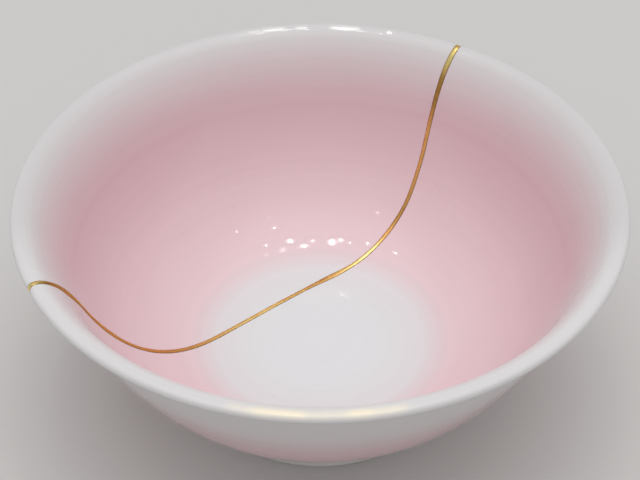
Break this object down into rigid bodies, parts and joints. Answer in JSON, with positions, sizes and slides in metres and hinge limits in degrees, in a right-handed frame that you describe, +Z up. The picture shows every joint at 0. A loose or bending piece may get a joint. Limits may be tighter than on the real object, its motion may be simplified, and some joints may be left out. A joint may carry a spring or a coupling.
{
  "type": "kintsugi bowl",
  "caption": "Flared porcelain bowl on a ring foot, broken and rejoined with a raised gold lacquer seam that runs across the inside from rim to rim.",
  "frame": {"origin": "centre of the ring foot's underside, on the table", "axes": "+Z up through the bowl's axis, -Y towards the viewer of the picture, so the seam runs from the left rim (-X) to the back right rim (+Y)"},
  "size_m": [0.15, 0.15, 0.064],
  "materials": {
    "blush_glaze": "gloss",
    "gold_lacquer": "gloss"
  },
  "bodies": {
    "root": {"front_shard": "blush_glaze", "back_shard": "blush_glaze", "gold_seam": "gold_lacquer"}
  },
  "joints": []
}
